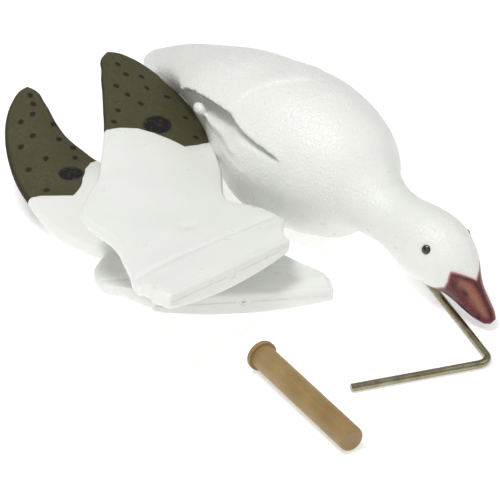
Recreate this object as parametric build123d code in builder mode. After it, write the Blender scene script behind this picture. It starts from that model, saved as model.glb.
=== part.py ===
from build123d import *
from math import cos, radians, sin
import os

os.makedirs("parts", exist_ok=True)

# A feeding goose decoy with two separate push-in wings, an L-shaped stake rod and a ground peg.
# The kit lies on a floor at z = 0, unassembled. Millimetres. The goose faces +X, +Y is its left side.
# The origin is the mouth of the stake socket, in the flat of the belly.

# ---------------------------------------------------------------- driving dimensions: goose
WALL = 3.0                      # moulded wall thickness
RING_SIDES = 28                 # facets round the bird
# Rings from tail to face: place along X, height, nose-down tilt in degrees, half depth, half width.
BODY_RINGS = [
    (-240, 97, 0, 9, 18),
    (-216, 99, 0, 18, 34),
    (-184, 100, 0, 30, 47),
    (-150, 102, 0, 38, 56),
    (-120, 103, 0, 44, 65),
    (-80, 101, 0, 57, 76),
    (-40, 92, 0, 72, 83),
    (0, 85, 0, 84, 88),
    (40, 84, 0, 89, 89),
    (80, 83, 0, 86, 82),
    (112, 82, 1, 78, 73),
    (136, 80, 3, 68, 63),
    (150, 77, 7, 57, 54),
    (162, 72, 13, 44, 43),
    (205, 64, 18, 31, 33),
    (236, 63, 24, 34, 33),
    (262, 58, 32, 37, 33),
    (290, 45, 44, 31, 27),
    (306, 33, 52, 23, 20),
]
# Bill rings, the same five values, from the feather line to the tip.
BILL_RINGS = [
    BODY_RINGS[-1],
    (329, 18, 56, 16, 13),
    (348, 9, 60, 5, 7),
]
EYE_RADIUS = 5.2
EYE_X, EYE_Y, EYE_Z = 278, 28, 70

# Wing pocket in each flank: a moulded slot that takes the wing's root tab.
POCKET_LENGTH = 200.0
POCKET_HEIGHT = 28.0
POCKET_X, POCKET_Z = 0.0, 114.0
POCKET_PITCH = 4.0              # the slot drops towards the breast, degrees
POCKET_FLOOR_Y = 34.0           # inner end of the pocket, from the bird's middle plane
# The flank steps in under the pocket's lip, where the wing's trailing edge lies against it.
STEP_FRONT, STEP_REAR = 24.0, -150.0
STEP_TOP, STEP_BOTTOM = 116.0, 40.0
STEP_Y = 54.0
STEP_RADIUS = 30.0

# ---------------------------------------------------------------- driving dimensions: stake parts
ROD_DIAMETER = 8.0              # 5/16 in rod
ROD_BEND_RADIUS = 14.0          # centreline
ROD_LONG_ARM = 230.0
ROD_SHORT_ARM = 146.0
SOCKET_BORE = 8.4               # running fit on the rod
SOCKET_DEPTH = 60.0
SOCKET_OUTER = 18.0
SOCKET_FLANGE = 34.0
FLANGE_THICKNESS = 3.0
PEG_DIAMETER = 25.0
PEG_LENGTH = 157.0
PEG_FLANGE = 31.0
PEG_FLANGE_THICKNESS = 5.0
PEG_BORE_DEPTH = 145.0

# ---------------------------------------------------------------- driving dimensions: wings
# Wing frame: +X forward along the root, the span runs outward from the root tab's outer edge,
# z = 0 is the upper face at the root.
TAB_LENGTH = 186.0
TAB_DEPTH = 35.0                # tab edge to the waist, where the wing flexes
TAB_THICKNESS = 24.0            # in the middle; the underside is bowed
TAB_END_THICKNESS = 16.0
TAB_BACK_GAP = 10.0             # the tab's block stops this far short of the waist
NEEDLE_HOLE = 4.0               # blow-needle hole in the tab's outer face
WAIST_RADIUS = 5.0
WAIST_GAP = 0.3
SKIN = 2.5                      # wall of the hollow wing
# Wing stations: distance outward, trailing edge, leading edge, thickness.
WING_STATIONS = [
    (TAB_DEPTH, -122, 88, 20),
    (50, -144, 82, 21),
    (82, -146, 60, 23),
    (119, -135, 42, 25),
    (160, -167, 21, 25),
    (200, -209, 6, 24),
    (242, -231, -70, 21),
    (283, -239, -129, 18),
    (320, -236, -166, 15),
    (355, -225, -195, 11),
    (374, -217, -207, 8),
]
CURL_START = 60.0               # outward of here the wing curls up
CURL_RISE = 90.0                # at the tip
WING_SPAN = WING_STATIONS[-1][0]
PAINT_LEADING = (-130, 284)     # the dark tip starts on the line through these two points
PAINT_TRAILING = (-210, 201)

# ---------------------------------------------------------------- places of the loose pieces
# Each wing: the middle of its tab's outer edge, then yaw, pitch and roll in degrees.
LEFT_WING_AT = (180.0, -183.0, 27.0)
LEFT_WING_TURN = (59.5, 0.0, -2.0)
RIGHT_WING_AT = (214.0, -221.0, 90.0)
RIGHT_WING_TURN = (-76.0, -6.5, 2.2)
ROD_BEND_AT = (397.0, -45.0)
ROD_LONG_ARM_YAW = 160.0
ROD_SHORT_ARM_YAW = 250.0
PEG_FLANGE_AT = (263.5, -226.0)
PEG_YAW = -6.0


# ================================================================ goose
def tilted_plane(x, z, tilt):
    """Plane across the neck at (x, z), its normal turned nose-down by tilt degrees."""
    return Plane(
        origin=(x, 0, z), x_dir=(0, 1, 0), z_dir=(cos(radians(tilt)), 0, -sin(radians(tilt)))
    )


def loft_rings(rings, inset=0.0):
    """Solid through the rings from tail to face, inset all round by that much."""
    with BuildPart() as tube:
        for x, z, tilt, half_depth, half_width in rings:
            corners = []
            for side in range(RING_SIDES):
                turn = radians(360 * (side + 0.5) / RING_SIDES)
                corners.append(((half_width - inset) * cos(turn), (half_depth - inset) * sin(turn)))
            with BuildSketch(tilted_plane(x, z, tilt)):
                Polygon(*corners, align=None)
        loft(ruled=True)
    return tube.part


def pocket_block(side, grow):
    """The wing pocket's space on one side of the bird, grown on every face by that much."""
    plane = Plane(
        origin=(POCKET_X, side * (POCKET_FLOOR_Y - grow), POCKET_Z),
        x_dir=(cos(radians(POCKET_PITCH)), 0, -sin(radians(POCKET_PITCH))),
        z_dir=(0, side, 0),
    )
    with BuildPart() as block:
        with BuildSketch(plane):
            SlotOverall(POCKET_LENGTH + 2 * grow, POCKET_HEIGHT + 2 * grow)
        extrude(amount=120)
    return block.part


def flank_step(side, grow):
    """The space outside the stepped-in flank under the pocket, grown inwards by that much."""
    length, height = STEP_FRONT - STEP_REAR, STEP_TOP - STEP_BOTTOM
    plane = Plane(
        origin=((STEP_FRONT + STEP_REAR) / 2, side * (STEP_Y - grow), (STEP_TOP + STEP_BOTTOM) / 2),
        x_dir=(1, 0, 0),
        z_dir=(0, side, 0),
    )
    with BuildPart() as step:
        with BuildSketch(plane):
            RectangleRounded(length + 2 * grow, height + 2 * grow, STEP_RADIUS + grow)
        extrude(amount=120)
    return step.part


SIDES = (1, -1)
with BuildPart() as flank_spaces:
    for side in SIDES:
        add(pocket_block(side, 0))
        add(flank_step(side, 0))

with BuildPart() as flank_liners:
    for side in SIDES:
        add(pocket_block(side, WALL))
        add(flank_step(side, WALL))

# The hollow inside stops short of the face and of the tail's tip.
with BuildPart() as cavity:
    add(loft_rings(BODY_RINGS[1:-1], WALL))
    # The belly is flat and thick enough there to seat the stake socket.
    Box(600, 260, 2 * WALL, mode=Mode.SUBTRACT)
    Cylinder(SOCKET_FLANGE / 2 + 6, 20, mode=Mode.SUBTRACT)
    add(flank_liners.part, mode=Mode.SUBTRACT)
    Cylinder(SOCKET_OUTER / 2, 100)

with BuildPart() as eye_left:
    with Locations((EYE_X, EYE_Y, EYE_Z)):
        Sphere(EYE_RADIUS)
eye_left.part.label = "eye_left"
export_step(eye_left.part, "parts/eye_left.step")

with BuildPart() as eye_right:
    with Locations((EYE_X, -EYE_Y, EYE_Z)):
        Sphere(EYE_RADIUS)
eye_right.part.label = "eye_right"
export_step(eye_right.part, "parts/eye_right.step")

with BuildPart() as body_shell:
    add(loft_rings(BODY_RINGS))
    split(bisect_by=Plane.XY, keep=Keep.TOP)
    add(cavity.part, mode=Mode.SUBTRACT)
    add(flank_spaces.part, mode=Mode.SUBTRACT)
    Cylinder(SOCKET_FLANGE / 2, 2 * FLANGE_THICKNESS, mode=Mode.SUBTRACT)
    for side in SIDES:
        with Locations((EYE_X, side * EYE_Y, EYE_Z)):
            Sphere(EYE_RADIUS, mode=Mode.SUBTRACT)
body_shell.part.label = "body_shell"
export_step(body_shell.part, "parts/body_shell.step")

with BuildPart() as bill:
    add(loft_rings(BILL_RINGS))
bill.part.label = "bill"
export_step(bill.part, "parts/bill.step")

# Flanged bush pressed up into the belly. Its blind bore takes the stake rod.
with BuildPart() as stake_socket:
    Cylinder(SOCKET_FLANGE / 2, FLANGE_THICKNESS, align=(Align.CENTER, Align.CENTER, Align.MIN))
    Cylinder(SOCKET_OUTER / 2, SOCKET_DEPTH + 5, align=(Align.CENTER, Align.CENTER, Align.MIN))
    Cylinder(
        SOCKET_BORE / 2, SOCKET_DEPTH,
        align=(Align.CENTER, Align.CENTER, Align.MIN), mode=Mode.SUBTRACT,
    )
stake_socket.part.label = "stake_socket"
export_step(stake_socket.part, "parts/stake_socket.step")


# ================================================================ wings
def curl(outward):
    """Height of the wing's upper face above its root."""
    if outward < CURL_START:
        return 0.0
    return CURL_RISE * ((outward - CURL_START) / (WING_SPAN - CURL_START)) ** 2


def loft_wing(inset, first, last):
    """The left wing's panel from station first to last, as a lens-sectioned solid."""
    with BuildPart() as skin:
        for outward, trailing, leading, thickness in WING_STATIONS[first:last]:
            rear, front = trailing + 1.6 * inset, leading - 1.6 * inset
            top, bottom = curl(outward) - inset, curl(outward) - thickness + inset
            edge = (top - bottom) * 0.22
            centre, level = (rear + front) / 2, (top + bottom) / 2
            with BuildSketch(Plane.XZ.offset(-outward)):
                with BuildLine():
                    ThreePointArc((rear, level + edge), (centre, top), (front, level + edge))
                    Line((front, level + edge), (front, level - edge))
                    ThreePointArc((front, level - edge), (centre, bottom), (rear, level - edge))
                    Line((rear, level - edge), (rear, level + edge))
                make_face()
        loft(ruled=True)
    return skin.part


WAIST_Z = -10.0                 # height of the flex line below the wing's upper face
paint_plane = Plane(
    origin=(*PAINT_LEADING, 0),
    x_dir=(PAINT_TRAILING[0] - PAINT_LEADING[0], PAINT_TRAILING[1] - PAINT_LEADING[1], 0),
    z_dir=(PAINT_LEADING[1] - PAINT_TRAILING[1], PAINT_TRAILING[0] - PAINT_LEADING[0], 0),
)

with BuildPart() as wing_skin:
    add(loft_wing(0, 0, len(WING_STATIONS)))
    add(loft_wing(SKIN, 1, len(WING_STATIONS) - 1), mode=Mode.SUBTRACT)

with BuildPart() as wing_panel:
    add(wing_skin.part)
    split(bisect_by=paint_plane, keep=Keep.TOP)
    # The waist: a round groove that the tab's bead lies in, with a V above and below it.
    with Locations((0, TAB_DEPTH, WAIST_Z)):
        Cylinder(WAIST_RADIUS + WAIST_GAP, 500, rotation=(0, 90, 0), mode=Mode.SUBTRACT)
    with BuildSketch(Plane.YZ):
        with BuildLine():
            Polyline((TAB_DEPTH, WAIST_Z), (TAB_DEPTH + 6, 20), (TAB_DEPTH - 20, 20), close=True)
        make_face()
        with BuildLine():
            Polyline((TAB_DEPTH, WAIST_Z), (TAB_DEPTH + 6, -40), (TAB_DEPTH - 20, -40), close=True)
        make_face()
    extrude(amount=250, both=True, mode=Mode.SUBTRACT)

with BuildPart() as wing_tip:
    add(wing_skin.part)
    split(bisect_by=paint_plane, keep=Keep.BOTTOM)

with BuildPart() as wing_root:
    with BuildSketch(Plane.XZ):
        with BuildLine():
            Polyline(
                (-TAB_LENGTH / 2, -TAB_END_THICKNESS), (-TAB_LENGTH / 2, 0),
                (TAB_LENGTH / 2, 0), (TAB_LENGTH / 2, -TAB_END_THICKNESS),
            )
            ThreePointArc(
                (TAB_LENGTH / 2, -TAB_END_THICKNESS), (0, -TAB_THICKNESS),
                (-TAB_LENGTH / 2, -TAB_END_THICKNESS),
            )
        make_face()
    extrude(amount=-(TAB_DEPTH - TAB_BACK_GAP))
    fillet(wing_root.edges().filter_by(Axis.Z), 7)
    with Locations((0, TAB_DEPTH, WAIST_Z)):
        Cylinder(WAIST_RADIUS, TAB_LENGTH, rotation=(0, 90, 0))
    with Locations((0, TAB_DEPTH - 6, WAIST_Z)):
        Box(TAB_LENGTH - 16, 12, 2 * WAIST_RADIUS - 3)
    # Hollow inside, open at the needle hole.
    with Locations((0, TAB_DEPTH / 2 - 5, -TAB_END_THICKNESS / 2)):
        Box(TAB_LENGTH - 16, TAB_DEPTH - 16, TAB_END_THICKNESS - 6, mode=Mode.SUBTRACT)
    with Locations((0, 0, -TAB_END_THICKNESS / 2)):
        Cylinder(NEEDLE_HOLE / 2, 16, rotation=(90, 0, 0), mode=Mode.SUBTRACT)



def wing_place(at, turn):
    """Where a wing lies: turned by roll, then pitch, then yaw, and moved to its tab's place."""
    yaw, pitch, roll = turn
    return (
        Location(at, (0, 0, yaw)) * Location((0, 0, 0), (0, pitch, 0)) * Location((0, 0, 0), (roll, 0, 0))
    )


left_wing_place = wing_place(LEFT_WING_AT, LEFT_WING_TURN)
right_wing_place = wing_place(RIGHT_WING_AT, RIGHT_WING_TURN)
for piece, name in ((wing_panel, "panel"), (wing_tip, "tip"), (wing_root, "root")):
    with BuildPart() as left_piece:
        add(piece.part.moved(left_wing_place))
    left_piece.part.label = "wing_left_" + name
    export_step(left_piece.part, "parts/wing_left_" + name + ".step")
    with BuildPart() as right_piece:
        add(piece.part.mirror(Plane.XZ).moved(right_wing_place))
    right_piece.part.label = "wing_right_" + name
    export_step(right_piece.part, "parts/wing_right_" + name + ".step")


# ================================================================ stake rod and ground peg
def along(start, yaw, distance):
    """The point that far from start in direction yaw, on the floor plane."""
    return (start[0] + distance * cos(radians(yaw)), start[1] + distance * sin(radians(yaw)))


long_end = along(ROD_BEND_AT, ROD_LONG_ARM_YAW, ROD_LONG_ARM)
short_end = along(ROD_BEND_AT, ROD_SHORT_ARM_YAW, ROD_SHORT_ARM)
with BuildPart() as stake_rod:
    with BuildLine(Plane.XY.offset(ROD_DIAMETER / 2)) as rod_path:
        FilletPolyline(long_end, ROD_BEND_AT, short_end, radius=ROD_BEND_RADIUS)
    with BuildSketch(Plane(origin=rod_path.line @ 0, z_dir=rod_path.line % 0)):
        Circle(ROD_DIAMETER / 2)
    sweep()
    chamfer(stake_rod.faces().filter_by(GeomType.PLANE).edges(), 1.0)
stake_rod.part.label = "stake_rod"
export_step(stake_rod.part, "parts/stake_rod.step")

# The peg lies on its flange and its tip, so its axis drops a little towards the tip.
PEG_DROP = (PEG_FLANGE - PEG_DIAMETER) / 2 / PEG_LENGTH
peg_plane = Plane(
    origin=(*PEG_FLANGE_AT, PEG_FLANGE / 2),
    z_dir=(cos(radians(PEG_YAW)), sin(radians(PEG_YAW)), -PEG_DROP),
)
with BuildPart() as ground_peg:
    with BuildSketch(peg_plane):
        Circle(PEG_FLANGE / 2)
    extrude(amount=PEG_FLANGE_THICKNESS)
    with BuildSketch(peg_plane):
        Circle(PEG_DIAMETER / 2)
    extrude(amount=PEG_LENGTH)
    fillet(ground_peg.edges().filter_by(GeomType.CIRCLE).sort_by_distance(peg_plane.origin)[-1:], 4)
    with BuildSketch(peg_plane):
        Circle(SOCKET_BORE / 2)
    extrude(amount=PEG_BORE_DEPTH, mode=Mode.SUBTRACT)
ground_peg.part.label = "ground_peg"
export_step(ground_peg.part, "parts/ground_peg.step")
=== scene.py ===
import bpy
import bmesh
import numpy as np
from math import cos, pi, radians, sin
from mathutils import Matrix, Vector


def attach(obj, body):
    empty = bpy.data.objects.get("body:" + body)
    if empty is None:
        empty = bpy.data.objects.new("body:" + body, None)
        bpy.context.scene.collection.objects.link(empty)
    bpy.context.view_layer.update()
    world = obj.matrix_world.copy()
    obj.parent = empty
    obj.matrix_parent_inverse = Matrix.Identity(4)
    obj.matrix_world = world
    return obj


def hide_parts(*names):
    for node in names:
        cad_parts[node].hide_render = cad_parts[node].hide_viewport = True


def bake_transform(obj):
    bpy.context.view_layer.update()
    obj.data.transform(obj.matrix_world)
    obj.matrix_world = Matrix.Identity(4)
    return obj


# A feeding goose decoy, its two wings, its stake rod and its ground peg, laid out on a floor.
# Sizes below are in millimetres unless they say otherwise; meshes are made in metres.

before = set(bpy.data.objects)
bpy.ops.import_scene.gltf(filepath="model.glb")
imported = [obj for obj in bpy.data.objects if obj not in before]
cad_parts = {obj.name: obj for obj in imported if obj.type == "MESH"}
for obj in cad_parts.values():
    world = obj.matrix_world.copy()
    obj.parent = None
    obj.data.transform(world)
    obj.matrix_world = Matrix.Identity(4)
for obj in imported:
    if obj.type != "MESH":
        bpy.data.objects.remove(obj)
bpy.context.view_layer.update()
MM = 0.001


# ================================================================ helpers
def ramp(value, low, high):
    """0 below low, 1 above high, smooth between."""
    t = np.clip((value - low) / (high - low), 0, 1)
    return t * t * (3 - 2 * t)


def curve(keys, column, at):
    """Smooth value of one column of keys at a place; keys are sorted by their first column."""
    x = np.array([k[0] for k in keys], float)
    y = np.array([k[column] for k in keys], float)
    step = np.diff(x)
    slope = np.diff(y) / step
    tangent = np.zeros_like(y)
    tangent[1:-1] = (slope[:-1] * step[1:] + slope[1:] * step[:-1]) / (step[1:] + step[:-1])
    tangent[0], tangent[-1] = slope[0], slope[-1]
    at = np.clip(np.asarray(at, float), x[0], x[-1])
    i = np.clip(np.searchsorted(x, at, side="right") - 1, 0, len(x) - 2)
    t = (at - x[i]) / step[i]
    return (
        (2 * t**3 - 3 * t**2 + 1) * y[i] + (t**3 - 2 * t**2 + t) * step[i] * tangent[i]
        + (-2 * t**3 + 3 * t**2) * y[i + 1] + (t**3 - t**2) * step[i] * tangent[i + 1]
    )


def new_object(name, verts, faces, smooth_angle=50):
    """A mesh object from points in millimetres; edges sharper than the angle stay sharp."""
    mesh = bpy.data.meshes.new(name)
    mesh.from_pydata([tuple(p) for p in np.asarray(verts) * MM], [], faces)
    mesh.validate()
    obj = bpy.data.objects.new(name, mesh)
    bpy.context.scene.collection.objects.link(obj)
    tidy_normals(obj, smooth_angle)
    return obj


def tidy_normals(obj, smooth_angle=50):
    """Outward normals, smooth shading, and sharp edges where the surface turns hard."""
    bm = bmesh.new()
    bm.from_mesh(obj.data)
    bmesh.ops.recalc_face_normals(bm, faces=bm.faces)
    for face in bm.faces:
        face.smooth = True
    for edge in bm.edges:
        if len(edge.link_faces) == 2:
            edge.smooth = edge.calc_face_angle(0) < radians(smooth_angle)
    bm.to_mesh(obj.data)
    bm.free()


def grid_faces(rows, columns, closed=True):
    """Quads of a rows by columns grid of points; closed joins the last column to the first."""
    faces = []
    for r in range(rows - 1):
        for c in range(columns if closed else columns - 1):
            d = (c + 1) % columns
            faces.append((r * columns + c, r * columns + d, (r + 1) * columns + d, (r + 1) * columns + c))
    return faces


def end_fans(rows, columns, first, last):
    """Triangles that close a grid's first and last rows on two more points."""
    faces = []
    for c in range(columns):
        d = (c + 1) % columns
        faces.append((c, first, d))
        faces.append(((rows - 1) * columns + c, (rows - 1) * columns + d, last))
    return faces


def ring_faces(rows):
    """Faces between rings of points that lie one after another; a ring may be a single point."""
    faces = []
    segments = max(len(row) for row in rows)
    for a, b in zip(rows, rows[1:]):
        for k in range(segments):
            m = (k + 1) % segments
            faces.append(distinct([a[k % len(a)], a[m % len(a)], b[m % len(b)], b[k % len(b)]]))
    return faces


def distinct(ring):
    """A face's points with repeats left out."""
    return tuple(p for k, p in enumerate(ring) if p not in ring[:k])


def closed_sections(forward, outward, top, bottom):
    """Rows of points that run over the upper side and back along the lower side."""
    upper = np.stack([forward, outward, top], axis=-1)
    lower = np.stack([forward, outward, bottom], axis=-1)[:, ::-1][:, 1:-1]
    return np.concatenate([upper, lower], axis=1)


def section_caps(rows, columns, around):
    """Faces that close the first and last of those rows, from the upper side to the lower."""
    faces = []
    for base in (0, (rows - 1) * around):
        for a in range(columns - 1):
            under, before = (around - a) % around, (around - a - 1) % around
            ring = distinct([base + a, base + a + 1, base + before, base + under])
            if len(ring) > 2:
                faces.append(ring)
    return faces


def apply_modifiers(obj):
    """Bakes an object's modifiers into its mesh."""
    depsgraph = bpy.context.evaluated_depsgraph_get()
    mesh = bpy.data.meshes.new_from_object(obj.evaluated_get(depsgraph))
    obj.modifiers.clear()
    obj.data = mesh


def keep(obj, body, slot, material, *nodes):
    """Gives a piece its material and the CAD body it rides on, and hides the CAD nodes it stands for; the
    slot argument is not used.
    """
    obj.data.materials.clear()
    obj.data.materials.append(material)
    if nodes:
        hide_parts(*nodes)
    if body:
        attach(obj, body)
    return obj


# ================================================================ materials
class Paint:
    """A node material with a Principled shader, and short ways to add nodes to it."""

    def __init__(self, name):
        self.material = bpy.data.materials.new(name)
        self.material.use_nodes = True
        self.nodes = self.material.node_tree.nodes
        self.links = self.material.node_tree.links
        self.shader = self.nodes["Principled BSDF"]
        self.coords = self.nodes.new("ShaderNodeTexCoord")

    def add(self, kind, **sockets):
        node = self.nodes.new(kind)
        for key, value in sockets.items():
            socket = node.inputs[key.replace("_", " ")]
            if hasattr(value, "is_output"):
                self.links.new(value, socket)
            else:
                socket.default_value = value
        return node

    def noise(self, scale, detail=3.0, roughness=0.5):
        node = self.add("ShaderNodeTexNoise", Scale=scale, Detail=detail, Roughness=roughness)
        self.links.new(self.coords.outputs["Object"], node.inputs["Vector"])
        return node.outputs["Fac"]

    def math(self, operation, a, b=0.0, clamp=False):
        node = self.nodes.new("ShaderNodeMath")
        node.operation = operation
        node.use_clamp = clamp
        for socket, value in zip(node.inputs, (a, b)):
            if hasattr(value, "is_output"):
                self.links.new(value, socket)
            else:
                socket.default_value = value
        return node.outputs[0]

    def remap(self, value, low, high, to_low=0.0, to_high=1.0):
        node = self.nodes.new("ShaderNodeMapRange")
        self.links.new(value, node.inputs["Value"])
        for key, number in (("From Min", low), ("From Max", high), ("To Min", to_low), ("To Max", to_high)):
            node.inputs[key].default_value = number
        return node.outputs["Result"]

    def mix(self, factor, a, b):
        node = self.nodes.new("ShaderNodeMix")
        node.data_type = "RGBA"
        for key, value in ((0, factor), (6, a), (7, b)):
            if hasattr(value, "is_output"):
                self.links.new(value, node.inputs[key])
            elif key == 0:
                node.inputs[key].default_value = value
            else:
                node.inputs[key].default_value = (*value, 1.0)
        return node.outputs[2]

    def attribute(self, name):
        node = self.nodes.new("ShaderNodeAttribute")
        node.attribute_name = name
        return node

    def colour(self, value):
        self.links.new(value, self.shader.inputs["Base Color"])

    def rough(self, value):
        if hasattr(value, "is_output"):
            self.links.new(value, self.shader.inputs["Roughness"])
        else:
            self.shader.inputs["Roughness"].default_value = value

    def bump(self, height, strength, distance):
        node = self.add("ShaderNodeBump", Height=height, Strength=strength, Distance=distance)
        previous = self.shader.inputs["Normal"].links
        if previous:
            self.links.new(previous[0].from_socket, node.inputs["Normal"])
        self.links.new(node.outputs["Normal"], self.shader.inputs["Normal"])


STIPPLE_CELL = 0.0029           # metres
STIPPLE_STRENGTH, STIPPLE_DEPTH = 0.62, 0.0010


def stipple(paint, cell, strength, distance):
    """The leathery stippled skin of a textured mould."""
    cells = paint.add("ShaderNodeTexVoronoi", Scale=1 / cell)
    paint.links.new(paint.coords.outputs["Object"], cells.inputs["Vector"])
    fine = paint.noise(1.6 / cell, 2.0)
    height = paint.math("ADD", cells.outputs["Distance"], paint.math("MULTIPLY", fine, 0.6))
    paint.bump(height, strength, distance)


def white_plastic(name, stippled):
    """Blow-moulded white plastic that lets a little light in, stippled or smooth."""
    paint = Paint(name)
    warm, cool = (0.86, 0.865, 0.83), (0.81, 0.825, 0.785)
    patches = paint.remap(paint.noise(9.0, 4.0), 0.35, 0.68)
    base = paint.mix(patches, warm, cool)
    specks = paint.remap(paint.noise(420.0, 2.0), 0.66, 0.80)
    base = paint.mix(paint.math("MULTIPLY", specks, 0.25), base, (0.62, 0.62, 0.56))
    paint.colour(base)
    paint.rough(paint.remap(paint.noise(60.0, 3.0), 0.3, 0.7, 0.27, 0.38))
    paint.shader.inputs["IOR"].default_value = 1.5
    paint.shader.inputs["Subsurface Weight"].default_value = 0.25
    paint.shader.inputs["Subsurface Radius"].default_value = (0.010, 0.010, 0.008)
    paint.shader.inputs["Subsurface Scale"].default_value = 0.5
    if stippled:
        stipple(paint, STIPPLE_CELL, STIPPLE_STRENGTH, STIPPLE_DEPTH)
    else:
        paint.bump(paint.noise(45.0, 3.0), 0.25, 0.0015)
        paint.bump(paint.noise(900.0, 2.0), 0.25, 0.0002)
    return paint.material


SPOT_CORE, SPOT_EDGE = 2.6, 4.2     # a spot is dark to the first radius and gone by the second
PAINT_RIM = 5.0                     # the paint darkens this near the wing's edge


def tip_paint(name, spots, oval):
    """Olive-brown sprayed wing tip with small dark spots and one mottled oval, in wing coordinates."""
    paint = Paint(name)
    place = paint.attribute("wing_place").outputs["Vector"]
    grain = paint.noise(260.0, 4.0, 0.65)
    base = paint.mix(paint.remap(grain, 0.3, 0.7), (0.052, 0.047, 0.020), (0.096, 0.089, 0.044))
    base = paint.mix(paint.remap(paint.noise(25.0, 3.0), 0.35, 0.75), base, (0.066, 0.058, 0.028))
    rim = paint.remap(paint.attribute("edge_near").outputs["Fac"], 1.0, PAINT_RIM, 0.8, 0.0)
    base = paint.mix(rim, base, (0.022, 0.018, 0.010))
    wobble = paint.math("MULTIPLY", paint.math("SUBTRACT", paint.noise(330.0, 2.0), 0.5), 3.4)
    dark = None
    for forward, outward in spots:
        distance = paint.nodes.new("ShaderNodeVectorMath")
        distance.operation = "DISTANCE"
        paint.links.new(place, distance.inputs[0])
        distance.inputs[1].default_value = (forward, outward, 0.0)
        reach = paint.math("ADD", distance.outputs["Value"], wobble)
        spot = paint.remap(reach, SPOT_CORE, SPOT_EDGE, 1.0, 0.0)
        dark = spot if dark is None else paint.math("MAXIMUM", dark, spot)
    base = paint.mix(paint.math("MULTIPLY", dark, 0.9), base, (0.006, 0.005, 0.004))
    turned = paint.nodes.new("ShaderNodeMapping")
    turned.vector_type = "TEXTURE"
    paint.links.new(place, turned.inputs["Vector"])
    turned.inputs["Location"].default_value = (oval[0], oval[1], 0.0)
    turned.inputs["Rotation"].default_value = (0.0, 0.0, radians(oval[2]))
    turned.inputs["Scale"].default_value = (oval[3], oval[4], 1.0)
    length = paint.nodes.new("ShaderNodeVectorMath")
    length.operation = "LENGTH"
    paint.links.new(turned.outputs["Vector"], length.inputs[0])
    edge = paint.math("ADD", length.outputs["Value"], paint.math("MULTIPLY", wobble, 0.04))
    inside = paint.remap(edge, 0.88, 1.08, 1.0, 0.0)
    mottle = paint.remap(paint.noise(260.0, 3.0, 0.7), 0.50, 0.66, 1.0, 0.45)
    base = paint.mix(paint.math("MULTIPLY", inside, mottle), base, (0.005, 0.003, 0.004))
    paint.colour(base)
    paint.rough(paint.remap(grain, 0.3, 0.7, 0.58, 0.75))
    paint.shader.inputs["Specular IOR Level"].default_value = 0.3
    paint.bump(grain, 0.35, 0.0006)
    return paint.material


def bill_paint(name):
    """Dark red paint; the mask's red is for dark lines, green for a painted highlight on the lit side, blue
    for the pale start.
    """
    paint = Paint(name)
    mask = paint.attribute("bill_mask").outputs["Color"]
    parts = paint.nodes.new("ShaderNodeSeparateColor")
    paint.links.new(mask, parts.inputs["Color"])
    grain = paint.noise(500.0, 4.0, 0.7)
    base = paint.mix(paint.remap(grain, 0.3, 0.7), (0.075, 0.006, 0.012), (0.17, 0.022, 0.032))
    broad = paint.remap(paint.noise(70.0, 2.0), 0.4, 0.7)
    base = paint.mix(paint.math("MULTIPLY", broad, 0.25), base, (0.22, 0.035, 0.045))
    smudges = paint.remap(paint.noise(130.0, 3.0, 0.6), 0.50, 0.62)
    base = paint.mix(paint.math("MULTIPLY", smudges, 0.75), base, (0.014, 0.004, 0.005))
    # Painted highlight: a lighter orange-brown for the bill's upper sides, where the light falls.
    painted_lit_side = paint.mix(paint.remap(grain, 0.3, 0.7), (0.24, 0.085, 0.045), (0.38, 0.160, 0.095))
    base = paint.mix(paint.math("MULTIPLY", parts.outputs["Green"], 0.9), base, painted_lit_side)
    base = paint.mix(paint.math("MULTIPLY", parts.outputs["Red"], 0.93), base, (0.008, 0.003, 0.004))
    base = paint.mix(paint.math("MULTIPLY", parts.outputs["Blue"], 0.75), base, (0.70, 0.42, 0.42))
    paint.colour(base)
    paint.rough(paint.remap(grain, 0.3, 0.7, 0.34, 0.5))
    paint.bump(grain, 0.3, 0.0004)
    return paint.material


def tan_plastic(name):
    """Moulded tan plastic with faint streaks and darker specks."""
    paint = Paint(name)
    streaks = paint.remap(paint.noise(40.0, 4.0), 0.3, 0.7)
    base = paint.mix(streaks, (0.26, 0.165, 0.055), (0.34, 0.225, 0.085))
    specks = paint.remap(paint.noise(600.0, 2.0), 0.6, 0.75)
    base = paint.mix(paint.math("MULTIPLY", specks, 0.4), base, (0.2, 0.12, 0.05))
    paint.colour(base)
    paint.rough(paint.remap(paint.noise(120.0, 3.0), 0.3, 0.7, 0.36, 0.5))
    paint.bump(paint.noise(90.0, 3.0), 0.2, 0.001)
    paint.bump(paint.noise(1200.0, 2.0), 0.2, 0.0002)
    return paint.material


def zinc_steel(name):
    """Yellowish zinc plate on steel rod, stained along its length."""
    paint = Paint(name)
    stains = paint.remap(paint.noise(35.0, 5.0, 0.7), 0.35, 0.72)
    paint.colour(paint.mix(stains, (0.40, 0.37, 0.25), (0.18, 0.155, 0.085)))
    paint.shader.inputs["Metallic"].default_value = 1.0
    paint.rough(paint.remap(paint.noise(150.0, 4.0), 0.3, 0.7, 0.20, 0.36))
    paint.bump(paint.noise(220.0, 4.0), 0.3, 0.0004)
    return paint.material


def black_bead(name):
    """Glossy black glass with a few brown flecks."""
    paint = Paint(name)
    flecks = paint.remap(paint.noise(900.0, 2.0), 0.6, 0.8)
    paint.colour(paint.mix(flecks, (0.006, 0.005, 0.005), (0.02, 0.014, 0.010)))
    paint.rough(0.06)
    paint.shader.inputs["Coat Weight"].default_value = 1.0
    paint.shader.inputs["Coat Roughness"].default_value = 0.03
    return paint.material


body_plastic = white_plastic("body_plastic", True)
wing_plastic = white_plastic("wing_plastic", False)
bead = black_bead("eye_bead")
zinc = zinc_steel("zinc_plate")
tan = tan_plastic("tan_plastic")

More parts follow.
